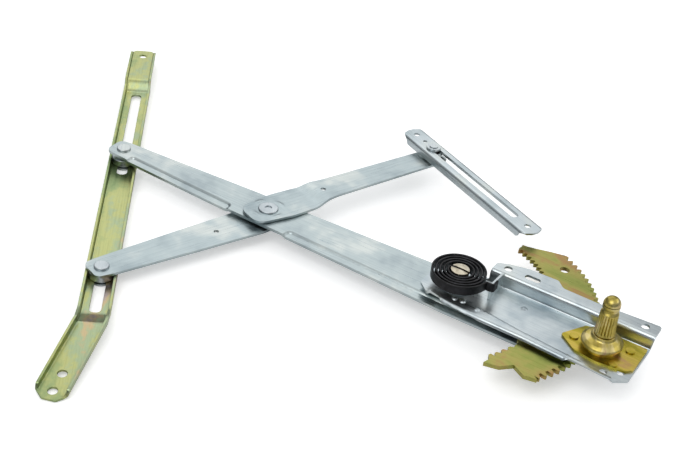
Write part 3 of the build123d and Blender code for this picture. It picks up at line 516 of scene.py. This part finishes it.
def arm_fine(u, v):
    """Where the steps' walls need a fine grid."""
    return panel(u, v - STEP_CENTRE, *LONG_STEP)[1] | panel(u, v - STEP_CENTRE, *SHORT_STEP)[1]


arm_outline = strip([(-98, 22), (-84, 25), (0, 25.5), (150, 19.5), (200, 18.5), (ARM_END, 11.5),
                     (ARM_END + 11, 10)], 7, 9)
arm = sheet("lift_arm_pressing", ZINC_ARM, "lift_arm", arm_outline,
            [ring(0, 0, 6.0), ring(ARM_CENTRE, 0, 9.05), ring(ARM_END, 0, 3.0)], arm_surface, ARM_THICK,
            PIVOT, fine=arm_fine)
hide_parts("main_arm")


# ------------------------------------------------------------------ equaliser
def front_link_surface(u, v):
    """Flat at the scissor, with four lugs 0.8 high on radius 13, then 3.4 forward from 38 to 54."""
    r, angle = np.hypot(u, v), np.arctan2(v, u)
    lugs = 0.8 * np.exp(-((r - 13.0) / 1.4) ** 2) * (0.5 + 0.5 * np.cos(4 * (angle - 0.09))) ** 2
    return np.stack([u, v, FRONT_LINK_LEVEL + 3.4 * soft_step((u - 38.0) / 16.0) + lugs], -1)


def front_link_fine(u, v):
    """The lugs and the step forward."""
    return (np.abs(u - 46) < 10) | (np.hypot(u, v) < 17)


def back_link_surface(u, v):
    """Flat, laid along -X."""
    return np.stack([-u, -v, np.full_like(u, BACK_LINK_LEVEL)], -1)


front_outline = strip([(-20, 14), (14, 18), (36, 17), (62, 13.5), (FRONT_LENGTH, 12),
                       (FRONT_LENGTH + 10, 11)], 11, 9)
back_outline = strip([(-22, 14), (16, 18), (40, 17), (80, 15.5), (BACK_LENGTH, 12),
                      (BACK_LENGTH + 10, 10.5)], 11, 9)
front = sheet("equaliser_front_pressing", ZINC_LINK, "equaliser", front_outline,
              [ring(0, 0, 6.0), ring(56, 0, 2.2), ring(FRONT_LENGTH, 0, 3.0)], front_link_surface,
              LINK_THICK, CENTRE, -TRAY_TURN, fine=front_link_fine, fine_step=1.1)
back = sheet("equaliser_back_pressing", ZINC_LINK, "equaliser", back_outline,
             [ring(0, 0, 6.0), ring(50, 0, 2.2), ring(BACK_LENGTH, 0, 3.0)], back_link_surface, LINK_THICK,
             CENTRE, -TRAY_TURN)
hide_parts("equaliser_front")
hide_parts("equaliser_back")


# ------------------------------------------------------------------ glass channel and guide rail
CHANNEL_FLAT, CHANNEL_BEND = 9.3, 2.0
RAIL_FLAT, RAIL_BEND = 8.0, 1.8
FOLD = -66.5                           # where the long end is folded
SHORT_RAMP, LONG_RAMP = 303.0, -48.0   # where the ramps start


def folded(v, flat, radius):
    """Across a U section laid out flat: sideways place and height over the web's mid sheet."""
    past = np.abs(v) - flat
    turn = np.clip(past / radius, 0, math.pi / 2)
    side = np.where(past > 0, flat + radius * np.sin(turn), np.abs(v))
    height = np.where(past > 0, radius * (1 - np.cos(turn)), 0) + np.maximum(past - radius * math.pi / 2, 0)
    return np.sign(v) * side, height


def ramp_area(x):
    """Area under a ramp that climbs from 0 to 1 between 0 and 1 and stays there."""
    return np.where(x < 0, 0.0, np.where(x < 1, x * x / 2, x - 0.5))


def eased(t, soft):
    """Ramp from 0 to 1 with its two corners rounded over a share soft of its length."""
    return (ramp_area(t + soft) - ramp_area(t - soft)) / (2 * soft)


def channel_surface(u, v):
    """U section: 8 up at the short end, 6 up to the long end's fold, then falling 6 and swung 15 degrees."""
    side, height = folded(v, CHANNEL_FLAT, CHANNEL_BEND)
    rise = 8.0 * eased((u - SHORT_RAMP) / 9.0, 0.25) + 6.0 * eased((LONG_RAMP - u) / (LONG_RAMP - FOLD), 0.14)
    straight = np.stack([u, side, CHANNEL_LEVEL + height + rise], -1)
    fall, swing = math.radians(6.0), math.radians(-15.0)
    x, z = u - FOLD, height + CHANNEL_THICK / 2
    along, lift = x * math.cos(fall) - z * math.sin(fall), x * math.sin(fall) + z * math.cos(fall)
    bent = np.stack([FOLD + along * math.cos(swing) - side * math.sin(swing),
                     along * math.sin(swing) + side * math.cos(swing), CHANNEL_LEVEL + 5.0 + lift], -1)
    share = soft_step((FOLD + 4.0 - u) / 8.0)[:, None]
    return straight * (1 - share) + bent * share


def channel_fine(u, v):
    """The side folds, the short end's ramp and the long end's ramp and fold."""
    return (np.abs(np.abs(v) - 10.9) < 2.4) | (np.abs(u - 307.5) < 7) | (np.abs(u + 57.5) < 15)


def both_sides(half):
    """Outline from (x, half width) stations, its corners rounded by 2."""
    return rounded([(x, -y) for x, y in half] + [(x, y) for x, y in reversed(half)], 2.0)


channel_outline = both_sides([(-144.5, 5.3), (-138.5, 11.4), (-136, 15.5), (-66.5, 16.9), (-48, 17.8),
                              (303, 17.8), (312, 14.9), (367.5, 14.0), (370, 12.4), (375, 7.3)])
channel = sheet("glass_channel_pressing", GOLD_CHANNEL, "channel", channel_outline,
                [oval(-46, 5, 4.5), oval(150, 296.5, 4.5), ring(363, 0, 3.6), ring(-119.5, 0, 3.6),
                 ring(-136.5, 0, 3.6)], channel_surface, CHANNEL_THICK, LINK_ROLLER, turn=0.0, step=2.6,
                fine=channel_fine, fine_step=1.1)
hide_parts("glass_channel")


def rail_surface(u, v):
    """Shallow U with its rims towards the back."""
    side, height = folded(v, RAIL_FLAT, RAIL_BEND)
    return np.stack([u, side, RAIL_LEVEL - height], -1)


def rail_fine(u, v):
    """The side folds."""
    return np.abs(np.abs(v) - 9.4) < 2.2


rail = sheet("guide_rail_pressing", ZINC_RAIL, "rail",
             both_sides([(-36, 2.7), (-33.6, 8.4), (-27, 11.2), (-25, 15.5), (136, 15.5), (138, 11.2),
                         (144.6, 8.4), (147, 2.7)]),
             [oval(-4, 121, 3.6), ring(-26, 0, 2.6), ring(136, 0, 2.6), ring(-13, 0, 1.8)],
             rail_surface, RAIL_THICK, GUIDE_ROLLER, RAIL_TURN, 2.4, rail_fine, 0.9)
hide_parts("guide_rail")


# ------------------------------------------------------------------ tray
# Along the open side, (u stations, v): the shelf's inner edge and the start of its turned-down lip.
SHELF_LINE = ([-31, -19, 8, 57, 77, 91, 104, 130, 140, 146],
              [34, 27.0, 24.0, 19.5, 16.5, 14.0, 13.4, 13.4, 26, 30])
LIP_LINE = ([-31, -19, 13, 52, 87, 104, 121, 136, 146], [36, 31.5, 29.0, 26.6, 26.4, 25.6, 23.6, 21.5, 22])
BUMPS = [(113.0, 18.4), (106.5, 17.8), (93.0, 20.0), (66.0, -8.0)]
WALL_FOOT, WALL_BEND, WALL_RISE = -21.5, 2.5, 7.0
LIP_BEND = 1.8


def tray_surface(u, v):
    """Floor, with a wall past WALL_FOOT up to the flange, 12 higher, and a shelf 3 up on the open side.

    The shelf's edge is turned down. Bends are quarter circles of WALL_BEND and LIP_BEND; the four bumps
    stand 1.1 up.
    """
    quarter = math.pi / 2
    s = WALL_FOOT - v
    first, second = np.clip(s / WALL_BEND, 0, quarter), np.clip((s - 10.93) / WALL_BEND, 0, quarter)
    wall, out = np.clip(s - 3.93, 0, WALL_RISE), np.maximum(s - 14.85, 0)
    y = np.where(s > 0, WALL_FOOT - WALL_BEND * np.sin(first) - WALL_BEND * (1 - np.cos(second)) - out, v)
    z = TRAY_LEVEL + WALL_BEND * (1 - np.cos(first)) + wall + WALL_BEND * np.sin(second)
    z = z + 3.0 * soft_step((v - np.interp(u, *SHELF_LINE)) / 3.4)
    past = v - np.interp(u, *LIP_LINE)
    turn = np.clip(past / LIP_BEND, 0, quarter)
    y = np.where(past > 0, y - past + LIP_BEND * np.sin(turn), y)
    z = z - LIP_BEND * (1 - np.cos(turn)) - np.maximum(past - LIP_BEND * quarter, 0)
    for x0, y0 in BUMPS:
        z = z + 1.1 * soft_step((2.6 - np.hypot(u - x0, v - y0)) / 1.8)
    return np.stack([u, y, z], -1)


def tray_fine(u, v):
    """Bends, shelf wall, edge and bumps."""
    s = WALL_FOOT - v
    bends = (np.abs(s - 1.9) < 2.8) | (np.abs(s - 12.9) < 2.8)
    bends |= np.abs(v - np.interp(u, *SHELF_LINE) - 1.7) < 2.6
    bends |= np.abs(v - np.interp(u, *LIP_LINE) - 1.4) < 2.4
    for x0, y0 in BUMPS:
        bends |= np.hypot(u - x0, v - y0) < 4
    return bends


# The tray's outline laid out flat: (u, v, corner radius).
TRAY_CORNERS = [
    (-31, 22, 3), (-31, -24, 2), (-32, -33, 3), (-32, -49.3, 3), (20, -45.5, 8), (48, -46, 5), (55, -53, 3),
    (80, -52.3, 8), (94, -48.5, 6), (103.5, -44, 3), (104, -33, 2), (104, -25.5, 1.5), (128, -24, 6),
    (146, -16, 4), (146, 12, 4), (136, 21, 4), (124, 23.6, 1.5), (120, 26.2, 2), (87, 29.2, 8), (52, 29.4, 8),
    (17, 31.6, 2), (12, 29.4, 1.5), (-19, 31.5, 4)]
# The drum's and the pivot's holes, the flange's two bolt holes and its slot, the holes of the open side.
TRAY_HOLES = [ring(0, 0, 11.6), ring(PIVOT_AT, 0, 8.05), ring(-21, -41.8, 3.4), ring(93, -41.8, 3.4),
              oval(65.5, 78.5, 3.0, -41.8), ring(-23, 17, 2.8), ring(-12, 24, 2.8), oval(-2, 8, 1.6, 26.5)]
tray = sheet("tray_pressing", ZINC_TRAY, "base", cornered(TRAY_CORNERS), TRAY_HOLES,
             tray_surface, TRAY_THICK, SPINDLE, fine=tray_fine, fine_step=0.9)
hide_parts("base_plate")


def cup_surface(u, v):
    """Wall down from the tray on the cup's radius, a corner of radius 2, then the bottom in to the hub."""
    angle, s = u / CUP_RADIUS, v
    turn = np.clip((s - 8.4) / 2.0, 0, math.pi / 2)
    inward = np.maximum(s - 11.54, 0)
    r = CUP_RADIUS - 2.0 * (1 - np.cos(turn)) - inward
    z = TRAY_LEVEL - np.minimum(s, 8.4) - 2.0 * np.sin(turn)
    return np.stack([r * np.cos(angle), r * np.sin(angle), z], -1)


half_turn = math.pi * CUP_RADIUS
sheet("pinion_cup", ZINC_TRAY, "base",
      np.array([(-half_turn, 0.4), (half_turn, 0.4), (half_turn, 17.6), (-half_turn, 17.6)]),
      [rounded([(-13, 1.0), (13, 1.0), (13, 5.7), (-13, 5.7)], 1.0)], cup_surface, CUP_THICK, SPINDLE,
      step=1.6, edge=0.15)
lathe("cup_hub", ZINC_TRAY, "base",
      cornered([(4.1, -21.9, 0.2), (4.1, -25.5, 0.3), (6.6, -25.5, 0.8), (6.8, -21.9, 0.2)], 0.25), count=40)


def tab_surface(u, v):
    """Upright across the tray, 93.5 along it."""
    return np.stack([np.full_like(u, 93.5), v - 24.1, u], -1)


sheet("anchor_tab", ZINC_TRAY, "base",
      cornered([(-13.0, 0.0, 0.2), (0.6, 0.0, 0.2), (1.6, 22.6, 2.0), (-13.0, 22.6, 0.6)]), [], tab_surface,
      TRAY_THICK, SPINDLE, step=2.0, edge=0.3)


# ------------------------------------------------------------------ clock spring
def spring_line():
    """Centre line: inner tang, then 4.5 turns of the spiral r = 9 + 3.1 per turn, its end bent outwards."""
    t = np.linspace(0, 9 * math.pi, 620)[2:-6]
    r = 9.0 + 1.55 * t / math.pi
    tang = np.stack([np.linspace(-3.0, 8.3, 12), np.zeros(12)], -1)
    spiral = np.stack([r * np.cos(t), r * np.sin(t)], -1)
    return np.concatenate([tang, spiral, [(-23.4, 0.95), (-24.0, 1.05)]])


def hook_line():
    """Centre line of the spring's outer end, bent round the anchor tab."""
    line = cornered([(-24.3, 1.1, 0.02), (-29.3, 0.9, 1.5), (-29.3, -6.0, 0.02), (-24.3, -6.0, 0.02)], 0.5)
    first = int(np.argmin(np.hypot(line[:, 0] + 24.3, line[:, 1] - 1.1)))
    last = int(np.argmin(np.hypot(line[:, 0] + 29.3, line[:, 1] + 6.0)))
    return line[first:last + 1]


def ribbon(name, line, body):
    """Upright spring strip round the pivot along a plane line, its long edges cut off by 0.3."""
    d = np.gradient(line, axis=0)
    d /= np.linalg.norm(d, axis=1)[:, None]
    side = np.stack([-d[:, 1], d[:, 0]], -1)
    w, b, low, high = SPRING_THICK / 2, 0.3, SPRING_LOW, SPRING_HIGH
    section = [(-w, low + b), (-w + b, low), (w - b, low), (w, low + b),
               (w, high - b), (w - b, high), (-w + b, high), (-w, high - b)]
    points = [(p[0] + q[0] * across, p[1] + q[1] * across, z)
              for p, q in zip(line, side) for across, z in section]
    n = len(section)
    faces = [(k * n + i, k * n + (i + 1) % n, (k + 1) * n + (i + 1) % n, (k + 1) * n + i)
             for k in range(len(line) - 1) for i in range(n)]
    faces += [tuple(range(n))[::-1], tuple((len(line) - 1) * n + i for i in range(n))]
    return make(name, to_row(points, PIVOT, TRAY_TURN), faces, BLACK_SPRING, body, 0.0, 30.0)


# The coil turns with the arm; its outer end stays hooked on the tray's tab.
spring = ribbon("clock_spring_strip", spring_line(), "lift_arm")
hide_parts("clock_spring")
ribbon("clock_spring_hook", hook_line(), "base")

HEAD_RADIUS, HEAD_SLOT = 7.4, 1.1      # the arbor's slotted head, and half its slot


def half_disc(sign):
    """Half of the arbor's slotted head, as a flat loop."""
    start = math.asin(HEAD_SLOT / HEAD_RADIUS)
    t = np.linspace(start, math.pi - start, 26)
    return np.stack([HEAD_RADIUS * np.cos(t), sign * HEAD_RADIUS * np.sin(t)], -1)[::sign]


def head_surface(u, v):
    """Domed by 0.5: z = 4.3 + 0.5 (1 - r^2 / 55)."""
    return np.stack([u, v, 4.3 + 0.5 * (1 - (u * u + v * v) / 55)], -1)


for part, sign in (("upper", 1), ("lower", -1)):
    sheet("arbor_head_" + part, CREAM_STEEL, "lift_arm", half_disc(sign), [], head_surface, 1.6, PIVOT,
          step=1.0, edge=0.4)


# ------------------------------------------------------------------ front plate and sector
PLATE_CORNERS = [(30.5, 3.5, 2.5), (19, -17.5, 3), (8, -20.6, 3), (-30, -20.6, 1.5), (-30, 10, 3),
                 (-25, 15.8, 3), (-3, 18.3, 8), (15, 15.5, 4)]
PLATE_RIVETS = ((21, 1), (-20, -9.5), (-15, 13.5))
plate = sheet("front_plate_pressing", GOLD_PLATE, "base", cornered(PLATE_CORNERS),
              [ring(0, 0, 11.0)] + [ring(x, y, 2.02) for x, y in PLATE_RIVETS], level(PLATE_LEVEL),
              PLATE_THICK, SPINDLE, edge=0.4)
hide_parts("front_plate")

OUTER_TEETH, OUTER_PITCH = 29, 360 / 112
INNER_TEETH, INNER_PITCH = 27, 3.36
# Half a tooth outside, (radius, degrees off its middle), and the blanked tooth inside.
OUTER_TOOTH = [(108.4, 1.02), (110.2, 0.86), (111.6, 0.56), (112.6, 0.30)]
INNER_TOOTH = [(89.6, 1.25), (86.9, 0.34)]
# The free end, then the horn: its three teeth, its tip and its back.
FREE_END = [(108.4, 241.6), (112.8, 242.4), (112.4, 243.6), (104.5, 249.0), (97.5, 254.5), (93.5, 259.0),
            (92.6, 261.2), (90.4, 260.6)]
HORN = [(-66.8, 36.6), (-64.3, 37.6), (-63.4, 39.4), (-65.2, 42.6), (-61.4, 43.9), (-60.9, 45.8),
        (-62.9, 48.6), (-59.0, 49.9), (-58.5, 51.8), (-60.8, 54.9), (-56.6, 54.4), (-55.6, 56.2),
        (-58.4, 60.6), (-56.6, 66.6), (-68.0, 63.6), (-75.8, 55.4), (-86.2, 61.6), (-96.2, 59.4)]


def polar(radius, degrees, origin=(0.0, 0.0)):
    """Point at a radius and an angle round an origin."""
    angle = math.radians(degrees)
    return (origin[0] + radius * math.cos(angle), origin[1] + radius * math.sin(angle))


def sector_outline():
    """Loop of the sector: the gear teeth outside, the free end, the blanked teeth inside, then the horn."""
    loop = []
    for i in range(OUTER_TEETH):
        a = 180 - 9.5 * OUTER_PITCH + i * OUTER_PITCH
        loop += [polar(r, a - off) for r, off in OUTER_TOOTH]
        loop += [polar(r, a + off) for r, off in OUTER_TOOTH[::-1]]
    loop += [polar(r, a) for r, a in FREE_END]
    around = (17.0, -2.0)
    for i in range(INNER_TEETH):
        a = 249.6 - INNER_PITCH * i - 1.2
        loop += [polar(r, a + off, around) for r, off in INNER_TOOTH]
        loop += [polar(r, a - off, around) for r, off in INNER_TOOTH[::-1]]
    return np.array(loop + HORN + [polar(112.6, 148.2)])[::-1]


SECTOR_RIVETS = ((-84, -15), (-84, 15), (-92, 0))
sector = sheet("sector_gear_blanked", GOLD_SECTOR, "lift_arm", sector_outline(),
               [ring(*polar(99.0, 235.0), 4.0)] + [ring(x, y, 3.02) for x, y in SECTOR_RIVETS],
               level(SECTOR_LEVEL), SECTOR_THICK, PIVOT, edge=0.35)
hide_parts("sector_gear")

# ------------------------------------------------------------------ brake drum and spindle
# (radius, z, corner radius) of the drum's section.
DRUM_CORNERS = [(11.0, -10.4, 0.2), (12.8, -10.4, 0.3), (12.6, -7.4, 0.8), (15.8, -6.0, 0.9),
                (15.8, -3.6, 1.4), (13.0, -1.5, 3.0), (9.4, -0.2, 2.0), (8.6, 0.8, 0.6), (8.6, 2.5, 0.5),
                (7.06, 2.5, 0.3), (7.06, -4.0, 0.4), (11.0, -4.4, 0.8)]
drum = lathe("brake_drum_turned", GOLD_BRAKE, "base", cornered(DRUM_CORNERS, 0.25), count=96)
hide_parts("brake_drum")


def serration(angle, z):
    """Twenty V grooves round the stem, 0.75 deep, fading out at both ends of the stem."""
    phase = abs(((angle * 20 / (2 * math.pi)) % 1.0) - 0.5) * 2
    groove = 0.75 * max(0.0, 1 - (1 - phase) * 2.2)
    share = soft_step((z - 4.2) / 1.2) * soft_step((22.2 - z) / 1.4)
    return 1.0 - share * groove / 7.0


# (radius, z, corner radius) of the spindle's section, up to the foot of its rounded end.
KNOB_RADIUS, KNOB_FOOT = 6.6, 29.2
SPINDLE_CORNERS = [(0.05, -26.9, 0.1), (4.0, -26.9, 0.6), (4.0, -9.8, 0.2), (8.2, -9.8, 0.2),
                   (8.2, -4.5, 0.3), (7.0, -4.5, 0.2), (7.0, 2.9, 0.1), (8.1, 3.4, 0.7), (7.4, 9.5, 2.0),
                   (6.9, 22.2, 0.8), (5.4, 24.0, 1.0), (5.4, 25.4, 0.5), (KNOB_RADIUS, 26.4, 0.8),
                   (KNOB_RADIUS, KNOB_FOOT, 0.1), (0.05, KNOB_FOOT, 0.1)]


def spindle_profile():
    """The stem's section, its long sides divided for the grooves to fade along, then the rounded end."""
    points = [p for p in cornered(SPINDLE_CORNERS, 0.25)
              if not (p[1] > KNOB_FOOT - 0.1 and p[0] < KNOB_RADIUS - 0.05)]
    profile = []
    for a, b in zip(points, points[1:]):
        long_side = b[1] - a[1] > 4 and a[1] > 3
        profile += list(np.linspace(a, b, 12, endpoint=False)) if long_side else [a]
    profile.append(points[-1])
    return profile + [(KNOB_RADIUS * math.cos(t), KNOB_FOOT + KNOB_RADIUS * math.sin(t))
                      for t in np.linspace(0.08, math.pi / 2 - 0.01, 14)]


spindle = lathe("crank_spindle_turned", GOLD_BRAKE, "crank", spindle_profile(), TRAY_TURN, 240, serration)
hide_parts("crank_spindle")


# ------------------------------------------------------------------ camera, floor and light
camera = bpy.data.objects.new("camera", bpy.data.cameras.new("camera"))
bpy.context.scene.collection.objects.link(camera)
bpy.context.scene.camera = camera


def arm_to_row(vector):
    """A direction in the lift arm's axes, in the row frame."""
    x, y, z = vector
    return Vector((x * COS - y * SIN, x * SIN + y * COS, z))


ARM_FRONT = Vector((PIVOT[0], PIVOT[1], -18.0))
eye = (arm_to_row((-298.6, 767.4, 586.0)) + ARM_FRONT) * MM
ahead = arm_to_row((0.3832, -0.7403, -0.5524)).normalized()
right = ahead.cross(arm_to_row((0.3647, -0.4282, 0.8268))).normalized()
over = right.cross(ahead)
camera.matrix_world = Matrix(((right.x, over.x, -ahead.x, eye.x), (right.y, over.y, -ahead.y, eye.y),
                              (right.z, over.z, -ahead.z, eye.z), (0, 0, 0, 1)))
FOCAL_PIXELS, PICTURE_WIDTH, SENSOR = 1295.085, 700.0, 36.0
camera.data.sensor_width = SENSOR
camera.data.lens = FOCAL_PIXELS * SENSOR / PICTURE_WIDTH
camera.data.clip_start = 0.01
camera.data.clip_end = 20.0


def floor():
    """Plain pale floor under the part; it glows to camera and transmission rays, so it reads as white."""
    mesh = bpy.data.meshes.new("floor")
    z, reach = CAD_BOX[0][2], 6
    mesh.from_pydata([(-reach, -reach, z), (reach, -reach, z), (reach, reach, z), (-reach, reach, z)], [],
                     [(0, 1, 2, 3)])
    obj = bpy.data.objects.new("floor", mesh)
    bpy.context.scene.collection.objects.link(obj)
    material, tree, shader = new_material("pale_floor")
    shader.inputs["Base Color"].default_value = linear("f4f4f4")
    shader.inputs["Roughness"].default_value = 0.9
    shader.inputs["Specular IOR Level"].default_value = 0.0
    rays = add(tree, "LightPath").outputs
    seen = add(tree, "Math", _operation="MAXIMUM", i0=rays["Is Camera Ray"], i1=rays["Is Transmission Ray"])
    glow = add(tree, "Emission", Color=(1, 1, 1, 1), Strength=0.42)
    both = add(tree, "AddShader", i0=shader.outputs[0], i1=glow.outputs[0])
    mix = add(tree, "MixShader", Fac=seen.outputs[0], i1=shader.outputs[0], i2=both.outputs[0])
    tree.links.new(mix.outputs[0], tree.nodes["Material Output"].inputs["Surface"])
    mesh.materials.append(material)
    return obj


floor()

MIDDLE = (0.17, 0.2, -0.02)


def lamp(name, place, size, power, size_y=None):
    """A soft rectangular lamp aimed at the part's middle."""
    data = bpy.data.lights.new(name, "AREA")
    data.shape = "RECTANGLE"
    data.size = size
    data.size_y = size_y or size
    data.energy = power
    obj = bpy.data.objects.new(name, data)
    bpy.context.scene.collection.objects.link(obj)
    obj.location = place
    obj.rotation_euler = (Vector(MIDDLE) - Vector(place)).to_track_quat("-Z", "Y").to_euler()


lamp("key", (-0.9, 0.9, 1.7), 1.4, 13)
lamp("fill", (1.6, 0.2, 1.1), 1.6, 7)
lamp("back", (0.2, -1.6, 1.3), 1.8, 6, 0.8)

# The sky's light by height, from 0.2 below the horizon to straight up: a dark horizon gives the metal its
# darks. The camera itself sees white.
SKY = [(0.0, "d8d8d8"), (0.17, "50545a"), (0.40, "84888d"), (0.62, "b4b7ba"), (0.80, "f0f0f0"),
       (1.0, "ffffff")]
world = bpy.data.worlds.new("studio")
bpy.context.scene.world = world
world.use_nodes = True
sky = world.node_tree
background = sky.nodes["Background"]
up = add(sky, "SeparateXYZ", Vector=add(sky, "TexCoord").outputs["Generated"]).outputs["Z"]
lit = ramp(sky, spread(sky, up, -0.2, 1.0, 0.0, 1.0), SKY)
to_camera = add(sky, "LightPath").outputs["Is Camera Ray"]
seen = add(sky, "Mix", _data_type="RGBA", i0=to_camera, i6=lit, i7=(1, 1, 1, 1))
sky.links.new(seen.outputs[2], background.inputs["Color"])
strength = add(sky, "Mix", _data_type="FLOAT", i0=to_camera, i2=0.75, i3=1.0)
sky.links.new(strength.outputs[0], background.inputs["Strength"])
bpy.context.scene.view_settings.view_transform = "Standard"

for obj in NODES.values():
    soften(obj, 0.3)
